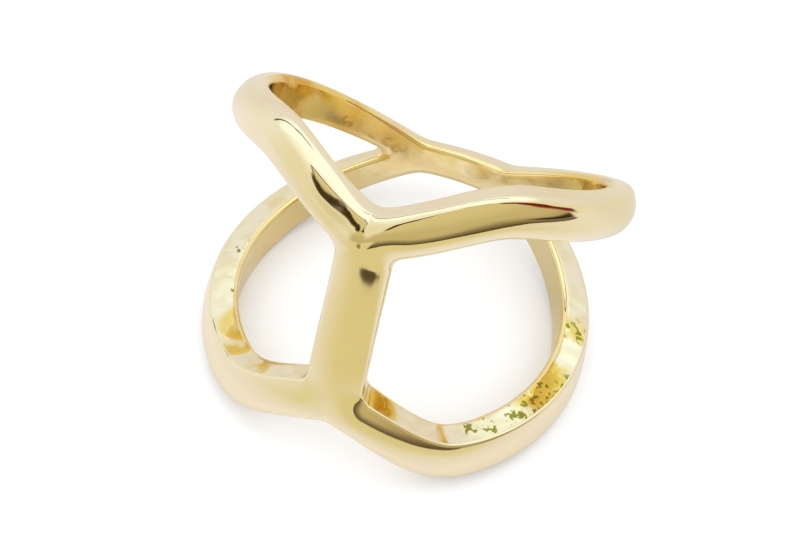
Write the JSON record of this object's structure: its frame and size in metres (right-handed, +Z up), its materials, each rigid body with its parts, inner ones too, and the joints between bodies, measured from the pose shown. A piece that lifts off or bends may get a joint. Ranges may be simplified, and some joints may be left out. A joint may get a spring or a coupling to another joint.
{
  "type": "open cage finger ring",
  "caption": "Smooth cast finger ring: upper and lower band bent into a V at the front, joined by a bar, merged into a narrow shank",
  "frame": {"origin": "on the surface that the ring lies on, under the middle of its box", "axes": "+Z up from that surface, +Y towards the shank at the back, +X across the ring; the bar faces -Y and the finger hole leans back 17 degrees from +Z"},
  "size_m": [0.0208, 0.0214, 0.0157],
  "materials": {
    "gold": "mirror-polished yellow gold outside, the walls and the finger hole left as cast"
  },
  "bodies": {
    "root": {"ring": "gold"}
  },
  "joints": []
}
